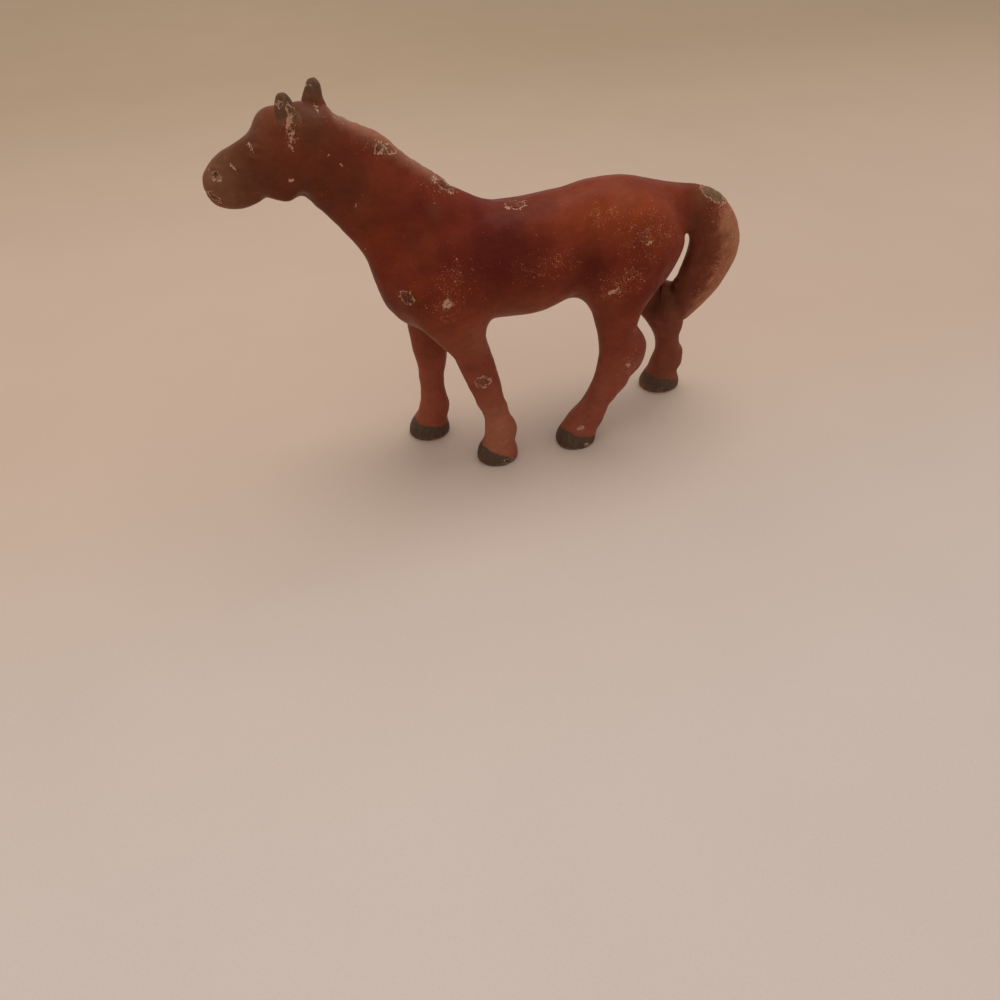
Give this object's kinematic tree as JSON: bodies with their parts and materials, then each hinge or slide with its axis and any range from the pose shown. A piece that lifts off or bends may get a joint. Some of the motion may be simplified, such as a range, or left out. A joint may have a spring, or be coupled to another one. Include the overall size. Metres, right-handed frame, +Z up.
{
  "type": "toy farm horse figure",
  "caption": "Painted hollow-cast metal toy horse in a walking stance, with its head turned a little aside and a low tail, standing on its hooves.",
  "frame": {"origin": "on the floor, under the middle of the figure's box", "axes": "+X towards the nose, +Y towards the horse's left side, +Z up"},
  "size_m": [0.093, 0.0216, 0.0682],
  "materials": {
    "coat": "satin",
    "mane": "satin",
    "tail": "satin",
    "hooves": "satin",
    "ears": "satin"
  },
  "bodies": {
    "root": {"body": "coat", "neck": "coat", "mane": "mane", "head": "coat", "left_ear": "ears", "right_ear": "ears", "left_fore_leg": "coat", "right_fore_leg": "coat", "left_hind_leg": "coat", "right_hind_leg": "coat", "left_fore_hoof": "hooves", "right_fore_hoof": "hooves", "left_hind_hoof": "hooves", "right_hind_hoof": "hooves", "tail": "tail"}
  },
  "joints": []
}
